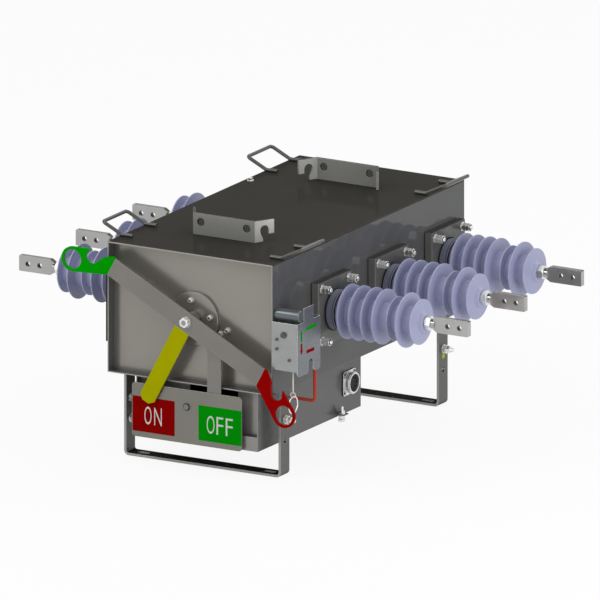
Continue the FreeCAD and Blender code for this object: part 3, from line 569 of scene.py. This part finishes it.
def addThread(bm, radius, pitch, low, high, matrix):
    segments = threadForm["segments"]
    root = radius - threadForm["depth"] * pitch
    rows = []
    for k in range(int((high - low - pitch) / pitch * segments) + 1):
        angle = 2 * math.pi * k / segments
        start = low + pitch * k / segments
        unit = Vector((math.cos(angle), math.sin(angle), 0))
        rows.append([bm.verts.new(matrix @ (unit * root + Vector((0, 0, start)))),
                     bm.verts.new(matrix @ (unit * radius + Vector((0, 0, start + pitch / 2)))),
                     bm.verts.new(matrix @ (unit * root + Vector((0, 0, start + pitch))))])
    for near, far in zip(rows, rows[1:]):
        for side in (0, 1):
            bm.faces.new((near[side], far[side], far[side + 1], near[side + 1]))
    core = root * threadForm["core"]
    profile = [(low, core), (high - threadForm["tipLength"], core), (high, root * threadForm["tip"])]
    addTurned(bm, profile, matrix, segments)


springForm = dict(steps=26, gap=math.radians(14), lift=0.22, thick=0.78)


def addSpringWasher(bm, inner, outer, low, high, matrix):
    steps, gap = springForm["steps"], springForm["gap"]
    half = (high - low) * springForm["thick"] / 2
    rings = []
    for k in range(steps + 1):
        angle = gap / 2 + (2 * math.pi - gap) * k / steps
        unit = (math.cos(angle), math.sin(angle))
        middle = (low + high) / 2 + (high - low) * springForm["lift"] * (k / steps - 0.5)
        below, above = middle - half, middle + half
        corners = ((inner, below), (outer, below), (outer, above), (inner, above))
        rings.append([(unit[0] * r, unit[1] * r, z) for r, z in corners])
    addRings(bm, rings, matrix)


washerEdge = 0.0004


def addWasher(bm, radius, low, high, matrix):
    edge = min(washerEdge, (high - low) / 4)
    addTurned(bm, [(low, radius - edge), (low + edge, radius), (high - edge, radius), (high, radius - edge)],
              matrix)


def addPlate(bm, corners, low, high, matrix):
    addRings(bm, [[(x, y, low) for x, y in corners], [(x, y, high) for x, y in corners]], matrix)


sharpEdge = math.radians(32.0)


def finishPiece(bm, name, body, finish, replaced=(), smooth=True):
    mesh = bpy.data.meshes.new(name)
    bmesh.ops.recalc_face_normals(bm, faces=bm.faces)
    bm.to_mesh(mesh)
    bm.free()
    piece = bpy.data.objects.new(name, mesh)
    scene.collection.objects.link(piece)
    mesh.materials.append(finishes[finish])
    if smooth:
        mesh.shade_smooth()
        mesh.set_sharp_from_angle(angle=sharpEdge)
    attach(piece, body)
    if replaced:
        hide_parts(*replaced)


def faceRight(x):
    return Matrix(((0, 0, 1, x), (1, 0, 0, 0), (0, 1, 0, 0), (0, 0, 0, 1)))     # drawn in Y and Z, facing +X


# The six bushings, which much of the hardware is set out from.
bushing = dict(face=0.2765, wall=0.252, pitch=0.142, phases=(-0.217, 0.083, 0.383), axisZ=0.416)
bushingPlaces = [(side, y) for side in (1, -1) for y in bushing["phases"]]

# Flange hardware, four to a bushing: stud, flat washer, split washer, nut, locking nut and a dark disc on its
# end, which stands for the locking ring and paints the shade of the nut's recess.
flangeBolt = dict(washer=0.012, washerThick=0.0025, split=0.0074, splitThick=0.003, splitPlay=0.0002,
                  across=0.0195, nut=0.0100, nutGap=0.0006, studRadius=0.006, studOut=0.0305, threadIn=0.002,
                  ring=0.0086, ringThick=0.0008, pitchOfThread=0.00175, turn=0.83)


def makeFlangeHardware(size, bushings):
    bm = bmesh.new()
    rings = bmesh.new()
    face = bushings["face"] - bushings["wall"]
    split = face + size["washerThick"]
    nut = split + size["splitThick"]
    second = nut + size["nut"] + size["nutGap"]
    end = second + size["nut"]
    half = bushings["pitch"] / 2
    turn = 0.0
    for side, y in bushingPlaces:
        for a, b in ((-1, -1), (-1, 1), (1, -1), (1, 1)):
            turn += size["turn"]
            at = (side * bushings["wall"], y + a * half, bushings["axisZ"] + b * half)
            matrix = turnTo(at, (side, 0, 0), turn)
            addTurned(bm, [(0, size["studRadius"]), (nut, size["studRadius"])], matrix)
            addWasher(bm, size["washer"], face, split, matrix)
            addSpringWasher(bm, size["studRadius"] + size["splitPlay"], size["split"], split, nut, matrix)
            addHexHead(bm, size["across"], nut, nut + size["nut"], matrix)
            addHexHead(bm, size["across"], second, end, matrix)
            # dark disc on the locking nut's end: locking ring and painted recess shade
            addWasher(rings, size["ring"], end - size["ringThick"], end + size["ringThick"], matrix)
            addThread(bm, size["studRadius"], size["pitchOfThread"], end - size["threadIn"],
                      face + size["studOut"], matrix)
    finishPiece(rings, "nutRingsAndRecessShade", "switch_body", "blackPlastic")
    finishPiece(bm, "flangeHardware", "switch_body", "brightFastener", ["flange_studs"])


makeFlangeHardware(flangeBolt, bushing)

# Bolts of the leg posts: a long earth bolt on each right post, two short screws on each left post.
legBolt = dict(postX=0.2395, strap=0.007, y=0.419, heights=(0.155, 0.098), across=0.018, head=0.008,
               nut=0.010, thread=0.006, threadIn=0.002, pitchOfThread=0.00175, reach=0.031, washer=0.012,
               washerThick=0.003, lugGap=0.005, screwWasher=0.0025, longTurn=0.4, baseTurn=0.3,
               screwTurn=7.0)


def makeLegBolts(size):
    bm = bmesh.new()
    outer = size["strap"]
    lug = outer + size["washerThick"] + size["lugGap"]
    nut = lug + size["washerThick"]
    end = nut + size["nut"]
    head = outer + size["screwWasher"]
    for back in (1, -1):
        at = (size["postX"] - size["strap"], back * size["y"], size["heights"][0])
        matrix = turnTo(at, (1, 0, 0), size["longTurn"] * back + size["baseTurn"])
        addHexHead(bm, size["across"], -size["head"], 0.0, matrix, chamferHigh=False)
        addTurned(bm, [(0, size["thread"]), (nut, size["thread"])], matrix)
        addWasher(bm, size["washer"], outer, outer + size["washerThick"], matrix)
        addWasher(bm, size["washer"], lug, nut, matrix)
        addHexHead(bm, size["across"], nut, end, matrix)
        addThread(bm, size["thread"], size["pitchOfThread"], end - size["threadIn"],
                  outer + size["reach"], matrix)
        for height in size["heights"]:
            at = (-size["postX"], back * size["y"], height)
            matrix = turnTo(at, (1, 0, 0), size["screwTurn"] * height + back)
            addTurned(bm, [(0, size["thread"]), (outer, size["thread"])], matrix)
            addWasher(bm, size["washer"], outer, head, matrix)
            addHexHead(bm, size["across"], head, head + size["head"], matrix, chamferLow=False)
    finishPiece(bm, "legBolts", "switch_body", "brightFastener", ["leg_bolts"])


makeLegBolts(legBolt)

# Earth bolt of the lug low on the housing: thread up, nut and washer above; washer, nut and head below.
earthLug = dict(x=0.220, y=-0.085, low=0.0885, high=0.0915, washer=0.010, washerThick=0.002, across=0.016,
                nut=0.008, headAcross=0.017, headGap=0.001, head=0.007, thread=0.005, threadIn=0.001,
                above=0.020, pitchOfThread=0.0015, shank=(-0.003, 0.012), turnUp=0.5, turnDown=0.2)


def makeEarthLug(size):
    bm = bmesh.new()
    nutEnd = size["washerThick"] + size["nut"]
    headStart = nutEnd + size["headGap"]
    up = turnTo((size["x"], size["y"], size["high"]), (0, 0, 1), size["turnUp"])
    addWasher(bm, size["washer"], 0.0, size["washerThick"], up)
    addHexHead(bm, size["across"], size["washerThick"], nutEnd, up)
    addThread(bm, size["thread"], size["pitchOfThread"], nutEnd - size["threadIn"], size["above"], up)
    down = turnTo((size["x"], size["y"], size["low"]), (0, 0, -1), size["turnDown"])
    addTurned(bm, [(along, size["thread"]) for along in size["shank"]], down)
    addWasher(bm, size["washer"], 0.0, size["washerThick"], down)
    addHexHead(bm, size["across"], size["washerThick"], nutEnd, down)
    addHexHead(bm, size["headAcross"], headStart, headStart + size["head"], down)
    finishPiece(bm, "earthLugBolt", "switch_body", "brightFastener", ["earth_lug_bolt"])


makeEarthLug(earthLug)

# Terminal nuts: a collar and a large hexagon on each conductor.
terminalNut = dict(start=0.5545, across=0.034, collar=0.0155, collarThick=0.002, nut=0.016, turn=0.26)


def makeTerminalNuts(size, bushings):
    bm = bmesh.new()
    for side, y in bushingPlaces:
        matrix = turnTo((side * size["start"], y, bushings["axisZ"]), (side, 0, 0), size["turn"] + y)
        addWasher(bm, size["collar"], 0.0, size["collarThick"], matrix)
        addHexHead(bm, size["across"], size["collarThick"], size["collarThick"] + size["nut"], matrix)
    finishPiece(bm, "terminalNuts", "switch_body", "brightFastener", ["terminal_nuts"])


makeTerminalNuts(terminalNut, bushing)

# Four screws round the shaft flange, two stop screws, and the lever's pivot bolt.
faceScrews = dict(panel=-0.478, disc=-0.487, circle=0.050, firstAngle=100, axisZ=0.416, washer=0.008,
                  washerThick=0.0015, across=0.012, head=0.007, stops=((0.076, 0.382), (0.098, 0.394)),
                  stopHead=0.008, turn=31)


def makeFaceScrews(size):
    bm = bmesh.new()
    places = []
    for k in range(4):
        angle = math.radians(size["firstAngle"] - 90 * k)
        places.append((size["circle"] * math.cos(angle), size["disc"],
                       size["axisZ"] + size["circle"] * math.sin(angle), size["head"]))
    for x, z in size["stops"]:
        places.append((x, size["panel"], z, size["stopHead"]))
    for x, y, z, head in places:
        matrix = turnTo((x, y, z), (0, -1, 0), x * size["turn"])
        addWasher(bm, size["washer"], 0.0, size["washerThick"], matrix)
        addHexHead(bm, size["across"], size["washerThick"], head, matrix, chamferLow=False)
    finishPiece(bm, "faceScrews", "switch_body", "brightFastener", ["flange_screws"])


makeFaceScrews(faceScrews)

pivot = dict(face=-0.530, z=0.416, washer=0.015, washerThick=0.003, across=0.024, head=0.010, turn=0.2)


def makePivotBolt(size):
    bm = bmesh.new()
    matrix = turnTo((0, size["face"], size["z"]), (0, -1, 0), size["turn"])
    addWasher(bm, size["washer"], 0.0, size["washerThick"], matrix)
    addHexHead(bm, size["across"], size["washerThick"], size["washerThick"] + size["head"], matrix,
               chamferLow=False)
    finishPiece(bm, "pivotBolt", "hand_lever", "brightFastener", ["pivot_bolt"])


makePivotBolt(pivot)
print("fasteners made")

# Rubber seal ring where a bushing's collar meets its flange, and two fine dark bands on the collar that paint
# the shade of its grooves.
sealRing = dict(thick=0.0034, edge=0.0008, radius=0.0572, inner=0.0546, grooveShades=(0.0200, 0.0262), band=0.0013,
                proud=0.0002, segments=64)


def makeSealRings(size, bushings):
    bm = bmesh.new()
    shoulder = (size["thick"] - size["edge"], size["radius"] - size["edge"])
    bandRadius = size["inner"] + size["proud"]
    for side, y in bushingPlaces:
        matrix = turnTo((side * bushings["face"], y, bushings["axisZ"]), (side, 0, 0))
        addTurned(bm, [(0.0, size["radius"]), (shoulder[0], size["radius"]), (size["thick"], shoulder[1]),
                       (size["thick"], size["inner"])], matrix, size["segments"])
        # dark bands: painted shade of the collar's grooves
        for start in size["grooveShades"]:
            addTurned(bm, [(start, bandRadius), (start + size["band"], bandRadius)], matrix, size["segments"])
    finishPiece(bm, "sealRings", "switch_body", "blackRubber")


makeSealRings(sealRing, bushing)

# Indicator plate: two coloured signs with their words.
signs = dict(front=-0.520, thick=0.0004, low=0.095, high=0.191, letterHeight=0.0485, letterDrop=0.0015,
             letterThick=0.0002, letterSize=0.05, letterThin=-0.0004, corner=0.0015,
             panels=(("signOn", "signRed", -0.1685, -0.040, (("O", -0.1212, 0.0215), ("N", -0.0906, 0.0230))),
                     ("signOff", "signGreen", 0.033, 0.1645,
                      (("O", 0.0703, 0.0235), ("F", 0.0985, 0.0205), ("F", 0.1272, 0.0215)))))


def makeSign(size, name, finish, left, right, letters):
    bm = bmesh.new()
    corner = size["corner"]
    corners = [(left + corner, size["low"]), (right - corner, size["low"]), (right, size["low"] + corner),
               (right, size["high"] - corner), (right - corner, size["high"]), (left + corner, size["high"]),
               (left, size["high"] - corner), (left, size["low"] + corner)]
    upright = Matrix(((1, 0, 0, 0), (0, 0, -1, size["front"]), (0, 1, 0, 0), (0, 0, 0, 1)))
    addPlate(bm, corners, 0.0, size["thick"], upright)
    finishPiece(bm, name, "switch_body", finish, smooth=False)
    middle = (size["low"] + size["high"]) / 2 - size["letterDrop"]
    for count, (body, across, width) in enumerate(letters):
        makeLetter(size, name + "Letter" + str(count + 1), body, across, middle, width)


def makeLetter(size, name, body, across, middle, width):
    curve = bpy.data.curves.new(name, "FONT")
    curve.body = body
    curve.align_x = "CENTER"
    curve.align_y = "CENTER"
    curve.size = size["letterSize"]
    curve.extrude = size["letterThick"] / 2
    curve.offset = size["letterThin"]
    letter = bpy.data.objects.new(name, curve)
    scene.collection.objects.link(letter)
    bpy.context.view_layer.update()
    shape = [Vector(corner) for corner in letter.bound_box]
    wide = max(point.x for point in shape) - min(point.x for point in shape)
    tall = max(point.y for point in shape) - min(point.y for point in shape)
    stretch = (width / wide, size["letterHeight"] / tall)
    offset = [sum(point[axis] for point in shape) / 8 * stretch[axis] for axis in (0, 1)]
    letter.scale = (*stretch, 1.0)
    letter.rotation_euler = (math.radians(90), 0, 0)
    depth = size["front"] - size["thick"] - size["letterThick"] / 2
    letter.location = (across - offset[0], depth, middle - offset[1])
    curve.materials.append(finishes["signLetter"])
    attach(letter, "switch_body")


for panel in signs["panels"]:
    makeSign(signs, *panel)

# Small plain discs: the plate bolt's dark washer, a black dot on each flange that paints the shade of a hole,
# the cable socket's screws and face.
plateWasher = dict(at=(-0.003, -0.5215, 0.181), radius=0.0103, thick=0.0006)
flangeHoleShade = dict(off=0.080, radius=0.0030, thick=0.0005)
socketScrew = dict(x=0.2115, y=-0.029, z=0.1636, reach=0.026, radius=0.0036, thick=0.0020)
socketFace = dict(at=(0.2215, -0.029, 0.1636), radius=0.0238, thick=0.0016)


def makeDiscs(name, finish, size, places):
    bm = bmesh.new()
    for at, facing in places:
        addWasher(bm, size["radius"], 0.0, size["thick"], turnTo(at, facing))
    finishPiece(bm, name, "switch_body", finish)


makeDiscs("plateWasher", "blackRubber", plateWasher, [(plateWasher["at"], (0, -1, 0))])
# black discs: painted shade of a hole in each flange
holeShadeZ = bushing["axisZ"] + flangeHoleShade["off"]
makeDiscs("flangeHoleShades", "blackPlastic", flangeHoleShade,
          [((side * bushing["face"], y - flangeHoleShade["off"], holeShadeZ), (side, 0, 0)) for side, y in bushingPlaces])
screwsY = [socketScrew["y"] + sign * socketScrew["reach"] for sign in (-1, 1)]
screwsZ = [socketScrew["z"] + sign * socketScrew["reach"] for sign in (-1, 1)]
makeDiscs("socketScrews", "polishedRod", socketScrew,
          [((socketScrew["x"], y, z), (1, 0, 0)) for y in screwsY for z in screwsZ])
makeDiscs("socketFace", "blackRubber", socketFace, [(socketFace["at"], (1, 0, 0))])

# Earth mark: a round yellow-green spot on the rear right post, just under the bolt.
earthSpot = dict(x=0.2395, y=0.419, z=0.136, radius=0.0085, sides=16, thick=0.0003)


def makeEarthMark(size):
    bm = bmesh.new()
    angles = [2 * math.pi * k / size["sides"] for k in range(size["sides"])]
    corners = [(size["y"] + size["radius"] * math.cos(angle), size["z"] + size["radius"] * math.sin(angle))
               for angle in angles]
    addPlate(bm, corners, 0.0, size["thick"], faceRight(size["x"]))
    finishPiece(bm, "earthMark", "switch_body", "earthMark", smooth=False)


makeEarthMark(earthSpot)

# Plain up and down arrows on the side of the lock guard, with a coloured bar beside each.
lockMarks = dict(x=0.330, thick=0.0003, middle=-0.489, width=0.015, stem=0.0075, point=0.011, barHeight=0.009,
                 arrows=(("lockArrowUp", "signGreen", 0.396, 0.428),
                         ("lockArrowDown", "signRed", 0.391, 0.361)),
                 bars=(("lockBarUp", "signGreen", -0.464, -0.410, 0.421),
                       ("lockBarDown", "signRed", -0.462, -0.422, 0.358)))


def makeLockMark(size, name, finish, corners):
    bm = bmesh.new()
    addPlate(bm, corners, 0.0, size["thick"], faceRight(size["x"]))
    finishPiece(bm, name, "switch_body", finish, smooth=False)


def makeLockMarks(size):
    half, stem, middle = size["width"] / 2, size["stem"] / 2, size["middle"]
    for name, finish, tail, tip in size["arrows"]:
        neck = tip - math.copysign(size["point"], tip - tail)
        makeLockMark(size, name, finish, [
            (middle - stem, tail), (middle + stem, tail), (middle + stem, neck), (middle + half, neck),
            (middle, tip), (middle - half, neck), (middle - stem, neck)])
    for name, finish, start, end, low in size["bars"]:
        high = low + size["barHeight"]
        makeLockMark(size, name, finish, [(start, low), (end, low), (end, high), (start, high)])


makeLockMarks(lockMarks)
print("signs and marks made")


# Stage: white floor that keeps the shadow, soft lamps and a pale room.
stageLook = dict(size=14.0, below=0.0005, floorColour=(0.86, 0.86, 0.86), shadowShare=0.10)


def whiteForViewers(tree, plain, white):
    path = tree.nodes.new("ShaderNodeLightPath")
    seen = mathNode(tree, "MAXIMUM", path.outputs["Is Camera Ray"], path.outputs["Is Glossy Ray"])
    seen = mathNode(tree, "MAXIMUM", seen, path.outputs["Is Transmission Ray"])
    mix = tree.nodes.new("ShaderNodeMixShader")
    tree.links.new(seen, mix.inputs[0])
    tree.links.new(plain, mix.inputs[1])
    tree.links.new(white, mix.inputs[2])
    return mix.outputs[0]


def makeStage(look):
    half = look["size"] / 2
    mesh = bpy.data.meshes.new("studioFloor")
    plan = ((-half, -half), (half, -half), (half, half), (-half, half))
    corners = [(x, y, -look["below"]) for x, y in plan]
    mesh.from_pydata(corners, [], [(0, 1, 2, 3)])
    floor = bpy.data.objects.new("studioFloor", mesh)
    scene.collection.objects.link(floor)
    material = bpy.data.materials.new("floorWhite")
    material.use_nodes = True
    tree = material.node_tree
    tree.nodes.clear()
    diffuse = tree.nodes.new("ShaderNodeBsdfDiffuse")
    diffuse.inputs["Color"].default_value = (*look["floorColour"], 1.0)
    glow = tree.nodes.new("ShaderNodeEmission")
    glow.inputs["Strength"].default_value = 1.0
    veil = tree.nodes.new("ShaderNodeMixShader")
    veil.inputs[0].default_value = look["shadowShare"]
    tree.links.new(glow.outputs[0], veil.inputs[1])
    tree.links.new(diffuse.outputs[0], veil.inputs[2])
    out = tree.nodes.new("ShaderNodeOutputMaterial")
    tree.links.new(whiteForViewers(tree, diffuse.outputs[0], veil.outputs[0]), out.inputs["Surface"])
    mesh.materials.append(material)


makeStage(stageLook)

roomLook = dict(top=1.0, horizon=0.76)


def makeRoom(look):
    world = bpy.data.worlds.new("paleRoom")
    scene.world = world
    world.use_nodes = True
    tree = world.node_tree
    tree.nodes.clear()
    axes = splitAxes(tree, tree.nodes.new("ShaderNodeTexCoord").outputs["Generated"])
    height = mathNode(tree, "MAXIMUM", axes["Z"], 0.0)
    level = spread(tree, height, look["horizon"], look["top"])
    plain = tree.nodes.new("ShaderNodeBackground")
    tree.links.new(level, plain.inputs["Strength"])
    white = tree.nodes.new("ShaderNodeBackground")
    white.inputs["Color"].default_value = (1.0, 1.0, 1.0, 1.0)
    out = tree.nodes.new("ShaderNodeOutputWorld")
    tree.links.new(whiteForViewers(tree, plain.outputs[0], white.outputs[0]), out.inputs["Surface"])


makeRoom(roomLook)

lamps = (
    dict(name="keyLamp", at=(-1.6, -3.2, 3.4), aim=(0.0, -0.2, 0.35), size=2.0, watts=43.0),
    dict(name="sideLamp", at=(3.4, -0.8, 0.9), aim=(0.2, -0.2, 0.45), size=1.6, watts=28.0),
    dict(name="backLamp", at=(1.2, 2.8, 3.8), aim=(0.0, 0.2, 0.4), size=1.8, watts=26.0),
)


def makeLamp(lamp):
    data = bpy.data.lights.new(lamp["name"], "AREA")
    data.size = lamp["size"]
    data.energy = lamp["watts"]
    light = bpy.data.objects.new(lamp["name"], data)
    scene.collection.objects.link(light)
    light.location = lamp["at"]
    light.rotation_euler = (Vector(lamp["aim"]) - Vector(lamp["at"])).to_track_quat("-Z", "Y").to_euler()
    light.visible_camera = False


for lamp in lamps:
    makeLamp(lamp)

# Camera: the photograph is a parallel view, 30 degrees round from the lever face and 15 degrees up.
view = dict(azimuth=30.0, elevation=15.0, width=1.5888, aim=(0.0431, 0.0, 0.3593), distance=6.0,
            sight=60.0)


def makeCamera(look):
    data = bpy.data.cameras.new("photoCamera")
    data.type = "ORTHO"
    data.ortho_scale = look["width"]
    data.clip_end = look["sight"]
    camera = bpy.data.objects.new("photoCamera", data)
    scene.collection.objects.link(camera)
    turn, rise = math.radians(look["azimuth"]), math.radians(look["elevation"])
    back = Vector((math.sin(turn) * math.cos(rise), -math.cos(turn) * math.cos(rise), math.sin(rise)))
    camera.location = Vector(look["aim"]) + back * look["distance"]
    camera.rotation_euler = (-back).to_track_quat("-Z", "Y").to_euler()
    scene.camera = camera


makeCamera(view)
print("stage, lamps and camera made")
